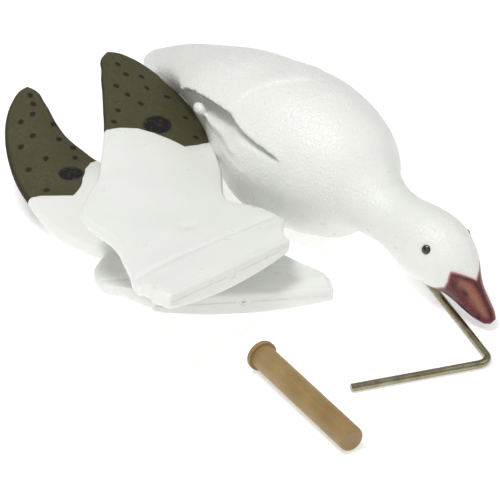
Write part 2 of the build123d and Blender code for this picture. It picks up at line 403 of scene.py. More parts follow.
# ================================================================ goose body
# Rings from tail to bill: place, height, nose-down tilt in degrees, half depth, half width.
RINGS = [
    (-240, 97, 0, 9, 18),
    (-216, 99, 0, 18, 34),
    (-184, 99, 0, 31, 47),
    (-150, 100, 0, 40, 56),
    (-120, 101, 0, 47, 65),
    (-80, 98, 0, 60, 76),
    (-40, 91, 0, 73, 83),
    (0, 84.5, 0, 83, 88),
    (40, 83, 0, 87.5, 89),
    (80, 82.5, 0, 85.5, 82),
    (112, 82, 1, 78, 73),
    (136, 80, 3, 68, 63),
    (150, 77, 7, 57, 54),
    (162, 72, 13, 44, 43),
    (176, 68, 16, 36, 37),
    (205, 64, 18, 31, 33),
    (236, 63, 24, 35, 34),
    (262, 58, 32, 38, 35.5),
    (290, 45, 44, 32, 29),
    (306, 33, 52, 23.5, 21.5),
    (329, 18, 56, 16, 14.5),
    (341, 12, 59, 10, 11),
    (348, 8.6, 60, 5, 7.5),
]
BILL_TIP = 348
BELLY_SKIN = 0.7                # the body's flat belly lies just above the socket's flange
SOCKET_HOLE = 10.5
SOCKET_TOP = 67.0
JAW_DROP = 11.5                 # the cheeks and jaw hang this much fuller than the crown
JAW_START, JAW_END = (205, 262), (292, 324)


def goose_point(place, angle, shrink=0.0, squareness=2.0):
    """Point on the skin at a ring place and an angle round it, 90 degrees being the top."""
    height = curve(RINGS, 1, place)
    tilt = np.radians(curve(RINGS, 2, place))
    depth = curve(RINGS, 3, place) - shrink
    width = curve(RINGS, 4, place) - shrink
    c, s = np.cos(angle), np.sin(angle)
    jaw = JAW_DROP * ramp(place, *JAW_START) * (1 - ramp(place, *JAW_END))
    depth = depth + jaw * np.clip(-s, 0, 1) ** 1.5
    across = np.sign(c) * np.abs(c) ** (2 / squareness) * width
    up = np.sign(s) * np.abs(s) ** (2 / squareness) * depth
    return np.stack([place + up * np.sin(tilt), across, height + up * np.cos(tilt)], axis=-1)


# The wing pocket's mouth in the flank: place along X, upper lip height, lower lip height.
POCKET_MOUTH = [
    (-92, 121, 119),
    (-84, 127, 115),
    (-55, 131, 109),
    (-15, 132, 107),
    (12, 132, 109),
    (24, 128, 111),
    (45, 122.5, 111),
    (70, 117.5, 109),
    (90, 112.5, 107),
    (99, 108.5, 107.5),
]
POCKET_REAR, POCKET_FRONT = (-96, -88), (94, 101)
POCKET_FLOOR = 37.0             # from the goose's middle plane
LIP_OVERHANG = 1.8
KNOB = (-56, 66, 113)
KNOB_SIZE = (0.010, 0.006, 0.0075)      # metres
# Where the lower flank stands back below the lip, along X, and how far.
STEP_REAR, STEP_FRONT = (-210, -120), (70, 110)
STEP_LEAST, STEP_MIDDLE, STEP_MOST = 4.5, 11, 10
RIDGE_HEIGHT, RIDGE_BAND = 4.5, 5.5
FOLD_HEIGHT, FOLD_BAND = 1.2, 3.0
FEATHER_EDGE = 1.9              # height of the folded feathers' edge across the back


def shape_flank(points):
    """Cuts the wing pocket into the flanks, steps the flank in below it and adds the back's crease."""
    x, y, z = points[:, 0], points[:, 1], points[:, 2]
    side = np.sign(y)
    reach = np.abs(y)
    upper = np.interp(x, [k[0] for k in POCKET_MOUTH], [k[1] for k in POCKET_MOUTH])
    lower = np.interp(x, [k[0] for k in POCKET_MOUTH], [k[2] for k in POCKET_MOUTH])
    along = ramp(x, *POCKET_REAR) * (1 - ramp(x, *POCKET_FRONT))
    # Below the lip the lower flank stands back, most at the rear, where the wing lies against it.
    back = ramp(x, *STEP_REAR) * (1 - ramp(x, *STEP_FRONT))
    # Behind the pocket the lip dies out into a smooth flank.
    fade = 1 - ramp(x, -125, -84)
    under = 1 - ramp(z, upper - 1.5 - 34 * fade, upper + 1.0 + 14 * fade)
    low = ramp(z, 15, 70)
    rear = (1 - ramp(x, -80, -25)) * ramp(x, -190, -130)
    deep = STEP_LEAST + STEP_MIDDLE * (1 - ramp(x, -15, 40)) + STEP_MOST * rear
    reach = reach - deep * back * under * low * ramp(reach, 20, 50)
    # The upper shell swells slightly above its lip.
    lip = np.exp(-(((z - upper - 5) / 7) ** 2)) * along
    reach = reach + LIP_OVERHANG * lip
    # The pocket: a sharp overhanging lip above, and a slope that runs out over the flank below.
    slope = 3 + 8 * ramp(x, -60, 10) * (1 - ramp(x, 40, 90))
    inside = along * ramp(upper - z, 0, 1.8) * ramp((z - lower) / slope, 0, 1)
    reach = np.where(reach > POCKET_FLOOR, reach + (POCKET_FLOOR - reach) * inside, reach)
    # A rounded ridge runs forward and down from the knob along the pocket's lower lip.
    spine = np.interp(x, [-60, 35], [111, 98])
    ridge = np.exp(-(((z - spine) / RIDGE_BAND) ** 2)) * ramp(x, -66, -54) * (1 - ramp(x, 15, 45))
    reach = reach + RIDGE_HEIGHT * ridge * (1 - inside)
    # A shallow fold crosses the flank lower down.
    fold_line = np.interp(x, [-20, 60], [88, 80])
    fold = np.exp(-(((z - fold_line) / FOLD_BAND) ** 2)) * ramp(x, -25, 5) * (1 - ramp(x, 40, 62))
    reach = reach + FOLD_HEIGHT * fold
    y = side * reach
    # The raised edge of the folded shoulder feathers, across the back.
    line = np.interp(np.abs(y), [0, 25, 49, 75], [60, 40, 18, 10])
    crease = np.clip((line - x) / 4, 0, 1) - ramp(line - x, 6, 50)
    z = z + FEATHER_EDGE * crease * ramp(z, 132, 146)
    return np.stack([x, y, z], axis=-1)


def shape_belly(points):
    """Flattens the belly on the floor and leaves the stake socket's hole."""
    x, y, z = points[:, 0], points[:, 1], points[:, 2]
    low = z < 30
    z = np.where(low, np.maximum(z, BELLY_SKIN), z)
    hole = (np.hypot(x, y) < SOCKET_HOLE) & low
    z = np.where(hole, SOCKET_TOP, z)
    return np.stack([x, y, z], axis=-1)


# The feather line round the bill: angle round the head, place where the paint starts.
FEATHER_LINE = [(-90, 300), (-60, 297), (-28, 301), (0, 303), (20, 300), (41, 294), (62, 300), (90, 307)]


def feather_place(angle):
    """Ring place of the feather line at an angle, the same on both sides of the bird."""
    turned = np.degrees(np.arcsin(np.clip(np.sin(angle), -1, 1)))
    return np.interp(turned, [k[0] for k in FEATHER_LINE], [k[1] for k in FEATHER_LINE])


BODY_VOXEL = 0.0021             # metres
UNDER_BILL = 6.0                # the body shrinks this much inside the bill


def build_body():
    """The moulding up to the feather line: a grid of rings, the pockets, and one soft skin over them."""
    rows, columns, face_rows = 330, 288, 30
    places = np.concatenate([np.linspace(-240, 292, rows - face_rows), np.linspace(293, 322, face_rows)])
    angles = np.linspace(0, 2 * pi, columns, endpoint=False)
    place, angle = np.meshgrid(places, angles, indexing="ij")
    shrink = UNDER_BILL * ramp(place - feather_place(angle), -0.5, 6.0)
    points = goose_point(place, angle, shrink).reshape(-1, 3)
    points = shape_belly(shape_flank(points))
    count = len(points)
    tail = goose_point(np.array(-240.0), np.array(0.0)) * [1, 0, 0] + [-3, 0, 100]
    face = points[(rows - 1) * columns:].mean(axis=0)
    faces = grid_faces(rows, columns) + end_fans(rows, columns, count, count + 1)
    obj = new_object("goose_body", np.vstack([points, tail, face]), faces)
    bm = bmesh.new()
    bm.from_mesh(obj.data)
    for side in (1, -1):
        x, y, z = KNOB
        matrix = Matrix.Translation(Vector((x, side * y, z)) * MM) @ Matrix.Diagonal((*KNOB_SIZE, 1))
        bmesh.ops.create_icosphere(bm, subdivisions=3, radius=1.0, matrix=matrix)
    bm.to_mesh(obj.data)
    bm.free()
    remesh = obj.modifiers.new("skin", "REMESH")
    remesh.mode = "VOXEL"
    remesh.voxel_size = BODY_VOXEL
    soften = obj.modifiers.new("soften", "SMOOTH")
    soften.factor = 0.5
    soften.iterations = 5
    apply_modifiers(obj)
    tidy_normals(obj, 70)
    return obj


GRIN_DEPTH, NOSTRIL_DEPTH = 1.3, 0.9
FLOOR_GAP = 0.6                 # the bill stays this far above the floor


def build_bill():
    """The bill from the feather line to its tip, with its grin line, ridge, nostrils and colour mask."""
    rows, columns = 72, 128
    angles = np.linspace(0, 2 * pi, columns, endpoint=False)
    share = np.linspace(0, 1, rows)[:, None]
    start = feather_place(angles)[None, :]
    place = start + (BILL_TIP - start) * share
    angle = np.broadcast_to(angles[None, :], place.shape)
    squareness = 2.0 - 0.42 * np.sin(pi * np.clip(share * 1.1, 0, 1)) * np.ones_like(place)
    points = goose_point(place, angle, 0.25 * (1 - ramp(share, 0, 0.03)), squareness)
    degrees_up = np.degrees(np.arcsin(np.sin(angle)))
    grin_line = -14 - 6 * share
    grin = np.exp(-(((degrees_up - grin_line) / (15 * (1 - 0.55 * share))) ** 2))
    grin = grin * ramp(share, 0.04, 0.14) * (1 - ramp(share, 0.72, 0.92))
    culmen = np.exp(-(((degrees_up - 84) / 6) ** 2)) * ramp(share, 0.02, 0.2) * (1 - 0.5 * share)
    nostril = np.exp(-(((degrees_up - 40) / 7) ** 2) - ((share - 0.36) / 0.07) ** 2)
    # Painted highlight: a band along the bill's upper sides, made lighter where the light falls.
    painted_lit_side = np.exp(-(((degrees_up - 56) / 17) ** 2)) * ramp(share, 0.04, 0.2) * (1 - ramp(share, 0.78, 0.97))
    painted_lit_side = painted_lit_side * (1 - culmen)
    fade = 1 - ramp(share, 0.0, 0.05)
    middle = points.mean(axis=1, keepdims=True)
    inward = middle - points
    inward = inward / np.linalg.norm(inward, axis=-1, keepdims=True)
    sunk = GRIN_DEPTH * grin + NOSTRIL_DEPTH * nostril
    points = (points + inward * sunk[..., None]).reshape(-1, 3)
    count = len(points)
    back = goose_point(np.array(292.0), np.array(0.0)) * [1, 0, 1]
    tip = points[(rows - 1) * columns:].mean(axis=0) + [1.6, 0, -2.6]
    verts = np.vstack([points, back, tip])
    verts[:, 2] = np.maximum(verts[:, 2], FLOOR_GAP)
    faces = grid_faces(rows, columns) + end_fans(rows, columns, count, count + 1)
    obj = new_object("goose_bill", verts, faces, 60)
    dark = np.clip(1.1 * grin + 0.8 * culmen + nostril, 0, 1).reshape(-1)
    lit = painted_lit_side.reshape(-1)
    pale = np.broadcast_to(fade, place.shape).reshape(-1)
    layer = obj.data.color_attributes.new("bill_mask", "FLOAT_COLOR", "POINT")
    for i in range(count):
        layer.data[i].color = (dark[i], lit[i], pale[i], 1.0)
    layer.data[count].color = (0, 0, 1, 1)
    layer.data[count + 1].color = (0.3, 0.1, 0, 1)
    return obj


keep(build_body(), "goose", "white_plastic", body_plastic, "body_shell")
keep(build_bill(), "goose", "bill_paint", bill_paint("bill_paint"), "bill")

# ================================================================ wings
# Wing frame: +X forward, +Y outward from the root tab's outer edge, z = 0 the upper face at the root.
# Trailing and leading edges, each as outward, place along X. The two mouldings differ a little.
ROOT_TRAILING = [(36, -126), (40, -136), (52, -144), (70, -149), (86, -149), (102, -143), (114, -138)]
ROOT_LEADING = [
    (36, 91), (42, 92), (50, 88), (70, 71), (93, 54), (119, 36), (136, 29), (150, 27), (165, 25),
    (179, 22), (190, 14), (206, -13), (221, -43),
]
TRAILING = {
    "left": ROOT_TRAILING + [
        (133, -160), (157, -184), (181, -200), (217, -217), (240, -227), (273, -236), (307, -240),
        (334, -238), (350, -233), (362, -227), (370, -226),
    ],
    "right": ROOT_TRAILING + [
        (131, -147), (146, -163), (166, -186), (190, -207), (226, -235), (252, -250), (280, -259),
        (306, -262), (325, -262), (340, -258), (352, -252), (363, -243), (371, -240),
    ],
}
LEADING = {
    "left": ROOT_LEADING + [
        (242, -90), (264, -131), (283, -150), (302, -167), (324, -180), (343, -188), (360, -196), (370, -198),
    ],
    "right": ROOT_LEADING + [
        (236, -63), (252, -83), (287, -124), (309, -146), (327, -164), (345, -181), (361, -197), (371, -200),
    ],
}
ROUNDED_END = 11.0              # length of the rounding at the wing's end
WING_END = {"left": 369.5, "right": 371.0}
THICKNESS = [
    (36, 20), (50, 21), (82, 23), (119, 25), (160, 25), (200, 24), (242, 21), (283, 18), (320, 15),
    (355, 11), (377, 7),
]
# Where the dark paint starts: share across the wing from trailing to leading edge, outward.
PAINT_EDGE = {
    "left": [
        (0, 215), (0.07, 216), (0.15, 213), (0.25, 210), (0.31, 217), (0.47, 235), (0.65, 250), (0.84, 260),
        (1, 266),
    ],
    "right": [
        (0, 212), (0.14, 212), (0.25, 215), (0.37, 233), (0.5, 249), (0.64, 262), (0.82, 272), (1, 279),
    ],
}
CURL_START, CURL_END, CURL_RISE = 60.0, 374.0, 90.0
PANEL_START = 37.0
WAIST_OUT, WAIST_LOW = 35.0, -10.0
TAB_LENGTH, TAB_BACK = 186.0, 25.0
TAB_MIDDLE, TAB_END = 24.0, 16.0
DENT = (-43, 95)                # the mould's pinch mark in the panel's upper face
DENT_LENGTH, DENT_WIDTH, DENT_DEPTH = 13, 8, 1.8
CREASE_OUT = 54.0               # a crease runs along the wing beside its root
CREASE_DEPTH, CREASE_BAND = 1.5, 2.2
SEAM_INSET, SEAM_DEPTH, SEAM_BAND = 10, 0.5, 2.2
SWAY = 0.6                      # slow waves in the moulding's upper face
# The section is a lens: half thickness at its edges and added at its middle, as shares of the thickness.
EDGE_HALF, CROWN_HALF, EDGE_ROUNDING = 0.26, 0.24, 0.30


def turn(yaw, pitch, roll):
    return Matrix.Rotation(radians(yaw), 4, "Z") @ Matrix.Rotation(radians(pitch), 4, "Y") @ Matrix.Rotation(
        radians(roll), 4, "X"
    )


LEFT_PLACE = Matrix.Translation((180.0, -183.0, 27.0)) @ turn(59.5, 0.0, -2.0)
RIGHT_PLACE = Matrix.Translation((214.0, -221.0, 90.0)) @ turn(-76.0, -6.5, 2.2)


def put(points, word):
    """Wing points to the row frame; the right wing is mirrored."""
    matrix = np.array(LEFT_PLACE if word == "left" else RIGHT_PLACE)
    points = np.asarray(points, float) * [1, 1 if word == "left" else -1, 1]
    return points @ matrix[:3, :3].T + matrix[:3, 3]


def wing_curl(outward):
    return CURL_RISE * (np.maximum(outward - CURL_START, 0) / (CURL_END - CURL_START)) ** 2


def wing_edges(outward, word):
    """Trailing and leading edge at a distance outward, with the tip rounded off."""
    trailing = curve(TRAILING[word], 1, outward)
    leading = curve(LEADING[word], 1, outward)
    share = np.clip(1 - (WING_END[word] - outward) / ROUNDED_END, 0, 1)
    narrow = np.sqrt(1 - share**2)
    middle, half = (trailing + leading) / 2, (leading - trailing) / 2
    return middle - half * narrow, middle + half * narrow


def wing_faces(forward, outward, word):
    """Upper and lower surface heights of the wing, from its lens-shaped section with rounded edges."""
    trailing, leading = wing_edges(outward, word)
    width = np.maximum(leading - trailing, 1.0)
    thick = curve(THICKNESS, 1, outward)
    gap = np.clip(forward - trailing, 0, width)
    nearest = np.minimum(gap, width - gap)
    radius = np.minimum(EDGE_ROUNDING * thick, width * 0.5)
    fullness = np.sqrt(np.clip(1 - (1 - np.minimum(nearest / radius, 1)) ** 2, 0, 1))
    middle = 2 * gap / width - 1
    half = thick * (EDGE_HALF + CROWN_HALF * (1 - middle**2)) * fullness
    centre = wing_curl(outward) - thick / 2
    top, bottom = centre + half, centre - half
    dent = np.exp(-(((forward - DENT[0]) / DENT_LENGTH) ** 2) - ((outward - DENT[1]) / DENT_WIDTH) ** 2)
    top = top - DENT_DEPTH * dent
    sway = np.sin(forward * 0.045 + 0.7) * np.sin(outward * 0.05 + 1.1)
    top = top + SWAY * sway * fullness * ramp(outward, 60, 100)
    # The moulding's two halves meet in a shallow step a little inside the edge.
    seam = np.exp(-(((nearest - SEAM_INSET) / SEAM_BAND) ** 2)) * ramp(outward, 60, 90)
    top = top - SEAM_DEPTH * seam * fullness
    crease_line = CREASE_OUT + 2.0 * np.sin(forward * 0.03)
    crease = np.exp(-(((outward - crease_line) / CREASE_BAND) ** 2))
    top = top - CREASE_DEPTH * crease * fullness
    return top, bottom, nearest


NOSE_LENGTH = 5.0               # the panel's root edge is rounded over this length
SKIN_COLUMNS = 56


def wing_skin(start, end, rows, name, word, rounded_start):
    """Closed skin between two lines across the wing; start and end give outward at a share across it."""
    edge_gaps = np.array([0.0, 0.15, 0.6, 1.4, 2.6, 4.3, 6.5])
    edge_count = len(edge_gaps)
    inner = SKIN_COLUMNS
    near_edge, far_edge = np.linspace(0, 0.04, edge_count), np.linspace(0.96, 1, edge_count)
    share = np.concatenate([near_edge, np.linspace(0.05, 0.95, inner), far_edge])
    columns = len(share)
    v = np.linspace(0, 1, rows)[:, None]
    v = v**1.35 if rounded_start else 1 - (1 - v) ** 1.5
    outward = start(share)[None, :] + (end(share) - start(share))[None, :] * v
    trailing, leading = wing_edges(outward, word)
    width = np.maximum(leading - trailing, 0.8)
    reach = np.minimum(1.0, width * 0.48 / edge_gaps[-1])
    forward = np.empty_like(outward)
    for k in range(edge_count):
        far = columns - 1 - k
        forward[:, k] = trailing[:, k] + edge_gaps[k] * reach[:, k]
        forward[:, far] = leading[:, far] - edge_gaps[k] * reach[:, far]
    across = np.linspace(0, 1, inner + 2)[1:-1]
    middle = slice(edge_count, -edge_count)
    back = trailing[:, middle] + edge_gaps[-1] * reach[:, middle]
    front = leading[:, middle] - edge_gaps[-1] * reach[:, middle]
    forward[:, middle] = back + (front - back) * across[None, :]
    top, bottom, nearest = wing_faces(forward, outward, word)
    if rounded_start:
        in_nose = np.clip((outward - PANEL_START) / NOSE_LENGTH, 0, 1)
        nose = 0.5 + 0.5 * np.sqrt(np.clip(1 - (1 - in_nose) ** 2, 0, 1))
        top, bottom = WAIST_LOW + (top - WAIST_LOW) * nose, WAIST_LOW + (bottom - WAIST_LOW) * nose
    loop = closed_sections(forward, outward, top, bottom)
    around = loop.shape[1]
    local = loop.reshape(-1, 3)
    faces = grid_faces(rows, around) + section_caps(rows, columns, around)
    obj = new_object(name, put(local, word), faces, 55)
    # Each attribute is filled before the next one is made.
    places = obj.data.attributes.new("wing_place", "FLOAT_VECTOR", "POINT")
    flat = np.column_stack([local[:, :2], np.zeros(len(local))])
    places.data.foreach_set("vector", flat.ravel())
    edge_near = np.concatenate([nearest, nearest[:, ::-1][:, 1:-1]], axis=1).reshape(-1)
    nearness = obj.data.attributes.new("edge_near", "FLOAT", "POINT")
    nearness.data.foreach_set("value", edge_near)
    return obj


def cut_away(obj, cutters):
    """Cuts small solids, given as meshes in their places, out of a piece."""
    for mesh in cutters:
        cutter = bpy.data.objects.new("cutter", mesh)
        bpy.context.scene.collection.objects.link(cutter)
        cut = obj.modifiers.new("cut", "BOOLEAN")
        cut.operation = "DIFFERENCE"
        cut.solver = "EXACT"
        cut.object = cutter
        apply_modifiers(obj)
        bpy.data.objects.remove(cutter)


def wing_cutter(word, build):
    """A cutter mesh built in wing coordinates, in millimetres, and put in place."""
    mesh = bpy.data.meshes.new("cutter")
    bm = bmesh.new()
    build(bm)
    for vert in bm.verts:
        vert.co = Vector(put([tuple(vert.co)], word)[0]) * MM
    bmesh.ops.recalc_face_normals(bm, faces=bm.faces)
    bm.to_mesh(mesh)
    bm.free()
    return mesh


SLIT_SIZE, SLIT_TURN = (8.0, 2.2, 12.0), 38
NEEDLE_LEVEL = -9.5             # height of the blow needle's hole on the tab's outer face
NEEDLE_RADIUS = 2.0
SAUCER_INNER, SAUCER_OUTER = 4.2, 6.4


def pinch_slit(bm):
    """The dark slit in the pinch mark."""
    matrix = Matrix.Translation((DENT[0], DENT[1], 0.5)) @ Matrix.Rotation(radians(SLIT_TURN), 4, "Z")
    bmesh.ops.create_cube(bm, size=1.0, matrix=matrix @ Matrix.Diagonal((*SLIT_SIZE, 1)))


def needle_hole(bm):
    """The blow needle's hole in the tab's outer face."""
    matrix = Matrix.Translation((0, 6.0, NEEDLE_LEVEL)) @ Matrix.Rotation(pi / 2, 4, "X")
    bmesh.ops.create_cone(
        bm, cap_ends=True, segments=24, radius1=NEEDLE_RADIUS, radius2=NEEDLE_RADIUS, depth=16, matrix=matrix)


def needle_saucer(bm):
    """The shallow saucer round the blow needle's hole."""
    matrix = Matrix.Translation((0, -1.2, NEEDLE_LEVEL)) @ Matrix.Rotation(pi / 2, 4, "X")
    bmesh.ops.create_cone(
        bm, cap_ends=True, segments=32, radius1=SAUCER_INNER, radius2=SAUCER_OUTER, depth=4.2, matrix=matrix)


# The web's ends along X at distances outward, its extent outward and its underside.
WEB_START, WEB_END = 2.5, 53.0
WEB_TRAILING = [
    (2.5, -91.5), (8, -95), (16, -103), (24, -112), (32, -122), (40, -132), (46, -138), (53, -143),
]
WEB_LEADING = [(2.5, 91.5), (14, 92), (24, 92), (35, 91.5), (41, 90.5), (53, 83)]
WEB_UNDER, WEB_ARCH = -15.5, 1.5
WEB_PROUD, WEB_TUCK = 0.35, 0.9     # the web stands proud of what it joins and tucks in at its edges


def build_web(word, name):
    """The flexing web between the panel and the tab: flush on top, hollowed underneath."""
    rows, columns = 40, 72
    out = np.linspace(WEB_START, WEB_END, rows)
    low_end = np.interp(out, [k[0] for k in WEB_TRAILING], [k[1] for k in WEB_TRAILING])
    high_end = np.interp(out, [k[0] for k in WEB_LEADING], [k[1] for k in WEB_LEADING])
    share = np.linspace(0, 1, columns)[None, :]
    forward = low_end[:, None] + (high_end - low_end)[:, None] * share
    outward = np.broadcast_to(out[:, None], forward.shape)
    panel_top = wing_faces(forward, np.maximum(outward, 38.0), word)[0]
    proud = ramp(outward, WEB_START, 7) + 1 - ramp(outward, 47, WEB_END)
    tuck = 1 - ramp(outward, WEB_START, 5) + ramp(outward, 46, WEB_END)
    top = ramp(outward, 20, 46) * panel_top + WEB_PROUD * proud - WEB_TUCK * tuck
    arch = np.clip(1 - np.abs(outward - WAIST_OUT) / 12, 0, 1)
    bottom = WEB_UNDER + WEB_ARCH * arch
    near = np.minimum(forward - low_end[:, None], high_end[:, None] - forward)
    full = np.sqrt(np.clip(1 - (1 - np.minimum(near / 5.0, 1)) ** 2, 0, 1))
    level = (top + bottom) / 2
    top, bottom = level + (top - level) * full, level + (bottom - level) * full
    loop = closed_sections(forward, outward, top, bottom)
    around = loop.shape[1]
    faces = grid_faces(rows, around) + section_caps(rows, columns, around)
    return new_object(name, put(loop.reshape(-1, 3), word), faces, 55)


def tab_outline():
    """Outline of the root tab seen from its outer end: flat above, bowed below, with rounded corners."""
    half, corner = TAB_LENGTH / 2, 4.5
    flat = half - corner

    def rounded(side, level, degrees):
        turned = [radians(a) for a in degrees]
        return [(side * (flat + corner * cos(a)), level + corner * sin(a)) for a in turned]

    bow = TAB_MIDDLE - TAB_END
    points = [(x, 0.0) for x in np.linspace(-flat, flat, 40)]
    points += rounded(1, -corner, (72, 54, 36, 18, 0))
    points += rounded(1, -TAB_END + corner, (0, -18, -36, -54, -72))
    points += [(x, -TAB_END - bow * (1 - (x / flat) ** 2)) for x in np.linspace(flat, -flat, 56)]
    points += rounded(-1, -TAB_END + corner, (-72, -54, -36, -18, 0))
    points += rounded(-1, -corner, (0, 18, 36, 54, 72))
    return np.array(points)


def build_tab(word, name):
    """The root tab: a tongue with soft edges, a bowed underside and a needle hole."""
    outline = tab_outline()
    middle = np.array([0.0, -9.0])
    # Depth into the wing and inset of the outline, from the outer face's middle round its soft edge.
    layers = [
        (0.0, 4.0), (0.3, 2.2), (1.0, 0.95), (2.1, 0.25), (3.6, 0.0), (14.0, 0.0), (TAB_BACK - 1.5, 0.0),
        (TAB_BACK, 1.5),
    ]
    tangent = np.roll(outline, -1, axis=0) - np.roll(outline, 1, axis=0)
    normal = np.stack([-tangent[:, 1], tangent[:, 0]], axis=1)
    normal = normal / np.linalg.norm(normal, axis=1, keepdims=True)
    normal = normal * np.sign(((middle - outline) * normal).sum(axis=1, keepdims=True))
    verts = [(x, depth, z) for depth, inset in layers for x, z in outline + normal * inset]
    count, rings = len(outline), len(layers)
    verts += [(0, layers[0][0], NEEDLE_LEVEL), (0, TAB_BACK, NEEDLE_LEVEL)]
    faces = grid_faces(rings, count) + end_fans(rings, count, len(verts) - 2, len(verts) - 1)
    obj = new_object(name, put(verts, word), faces, 60)
    cut_away(obj, [wing_cutter(word, needle_saucer), wing_cutter(word, needle_hole)])
    tidy_normals(obj, 45)
    return obj


FLASH_RUNS = ((-TAB_LENGTH / 2 + 3, -8.0), (8.0, TAB_LENGTH / 2 - 3))
FLASH_LEVEL, FLASH_BOW = -8.5, 1.2
FLASH_FOOT, FLASH_EDGE = 0.9, 0.22      # half heights where it leaves the tab and at its edge


def build_flashes(word, name):
    """The parting line round the outer face: a thin uneven flash, broken at the needle hole."""
    flashes = []
    for number, (low, high) in enumerate(FLASH_RUNS):
        run = np.linspace(low, high, 60)
        points = []
        for x in run:
            level = FLASH_LEVEL - FLASH_BOW * (1 - (x / (TAB_LENGTH / 2)) ** 2)
            out = -0.55 - 0.25 * sin(x * 0.35) - 0.2 * sin(x * 0.9 + 1)
            for dy, dz in ((1.2, FLASH_FOOT), (out, FLASH_EDGE), (out, -FLASH_EDGE), (1.2, -FLASH_FOOT)):
                points.append((x, dy, level + dz))
        faces = grid_faces(len(run), 4)
        last = (len(run) - 1) * 4
        faces += [(0, 1, 2, 3), (last, last + 1, last + 2, last + 3)]
        flashes.append(new_object(name + "_flash_" + str(number + 1), put(points, word), faces, 30))
    return flashes


SPOTS = {
    "left": [
        (-209, 358), (-206, 346), (-207, 332), (-221, 323), (-184, 319), (-208, 302), (-178, 297),
        (-222, 289), (-163, 285), (-194, 269), (-161, 269), (-214, 256), (-195, 223),
    ],
    "right": [
        (-217, 352), (-214, 336), (-232, 328), (-186, 326), (-222, 311), (-188, 310), (-236, 292),
        (-192, 293), (-157, 296), (-228, 256), (-209, 224), (-137, 284),
    ],
}
# The mottled oval: place, turn in degrees, half length and half width.
OVALS = {"left": (-167, 244, -7, 14.0, 10.5), "right": (-181, 258, -12, 22.0, 14.0)}


def paint_line(word):
    keys = PAINT_EDGE[word]
    return lambda share: np.interp(share, [k[0] for k in keys], [k[1] for k in keys])


def panel_line(share):
    return np.full_like(np.asarray(share, float), PANEL_START)


def end_line(word):
    return lambda share: np.full_like(np.asarray(share, float), WING_END[word])


for word in ("left", "right"):
    body = word + "_wing"
    panel = wing_skin(panel_line, paint_line(word), 92, "wing_" + word + "_skin", word, True)
    cut_away(panel, [wing_cutter(word, pinch_slit)])
    tidy_normals(panel, 55)
    keep(panel, body, "white_plastic", wing_plastic, "wing_" + word + "_panel")
    tip = wing_skin(paint_line(word), end_line(word), 64, "wing_" + word + "_dark_tip", word, False)
    keep(tip, body, "tip_paint", tip_paint("tip_" + word, SPOTS[word], OVALS[word]), "wing_" + word + "_tip")
    tab = build_tab(word, "wing_" + word + "_tab")
    keep(tab, body + "_tab", "white_plastic", wing_plastic, "wing_" + word + "_root")
    for flash in build_flashes(word, "wing_" + word + "_tab"):
        keep(flash, body + "_tab", "white_plastic", wing_plastic)
    web = build_web(word, "wing_" + word + "_web")
    keep(web, None, "white_plastic", wing_plastic)
    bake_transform(web)

# ================================================================ ground peg
PEG_AT = Vector((263.5, -226.0, 15.5))
PEG_YAW, PEG_LENGTH = -6.0, 157.0
PEG_DROP = 3.0 / PEG_LENGTH
SEAM_SIDE = Vector((1.2039, -0.9205, 0.875))    # the parting line is near this side of the peg
SEAM_TURN = -16.0
BEAD_HEIGHT, BEAD_HALF_ANGLE = 1.1, 0.07        # the parting line's bead
NUBS_ALONG = (8.0, 66.0, 71.0, 128.0, 133.0)
NUB_SIZE = (0.0021, 0.0013, 0.0013)             # metres
# Profile from the bore's bottom out over the flange and along to the tip: along, radius.
PEG_PROFILE = [
    (145, 0.0), (145, 4.2), (120, 4.2), (80, 4.2), (40, 4.2), (0.8, 4.2), (0.0, 5.0), (0.0, 9.0),
    (0.0, 15.0), (0.5, 15.5), (4.5, 15.5), (5.0, 15.0), (5.0, 12.9), (5.4, 12.5), (7, 12.5), (12, 12.5),
    (40, 12.5), (80, 12.4), (120, 12.3), (150, 12.2), (154.2, 12.1), (155.8, 11.6), (156.7, 10.6),
    (157, 9.3), (157.1, 5.0), (157, 0.0),
]


def build_peg():
    """The ground peg: a hollow turned body with a bead and small nubs along its parting line."""
    axis = Vector((cos(radians(PEG_YAW)), sin(radians(PEG_YAW)), -PEG_DROP)).normalized()
    seam = (SEAM_SIDE - axis * SEAM_SIDE.dot(axis)).normalized()
    seam = (Matrix.Rotation(radians(SEAM_TURN), 3, axis) @ seam).normalized()
    cross = axis.cross(seam)
    # Angles round the peg, with close steps over the bead.
    over_bead = [0.01, 0.03, 0.05, 0.08, 0.12]
    steps = sorted(list(np.linspace(0.2, 2 * pi - 0.2, 76)) + over_bead + [-a for a in over_bead])
    rows, verts = [], []
    for along, radius in PEG_PROFILE:
        on_shank = 12.0 < radius < 12.6
        ring = []
        for a in steps if radius else steps[:1]:
            bead_rise = BEAD_HEIGHT * float(np.exp(-((a / BEAD_HALF_ANGLE) ** 2)))
            r = radius + (bead_rise if on_shank and a < 1 else 0)
            ring.append(len(verts))
            verts.append(PEG_AT + axis * along + (seam * cos(a) + cross * sin(a)) * r)
        rows.append(ring)
    obj = new_object("peg_moulding", [tuple(v) for v in verts], ring_faces(rows), 35)
    keep(obj, "peg", "tan_plastic", tan, "ground_peg")
    for number, along in enumerate(NUBS_ALONG):
        mesh = bpy.data.meshes.new("peg_nub")
        bm = bmesh.new()
        basis = Matrix((axis, cross, seam)).transposed().to_4x4()
        place = Matrix.Translation((PEG_AT + axis * along + seam * 12.6) * MM)
        matrix = place @ basis @ Matrix.Diagonal((*NUB_SIZE, 1))
        bmesh.ops.create_icosphere(bm, subdivisions=3, radius=1.0, matrix=matrix)
        for face in bm.faces:
            face.smooth = True
        bm.to_mesh(mesh)
        bm.free()
        nub = bpy.data.objects.new("peg_nub_" + str(number + 1), mesh)
        bpy.context.scene.collection.objects.link(nub)
        keep(nub, "peg", "tan_plastic", tan)


build_peg()

# ================================================================ eyes
EYE_AT, EYE_NORMAL = (281.0, 29.0, 70.9), (0.36, 0.86, 0.36)
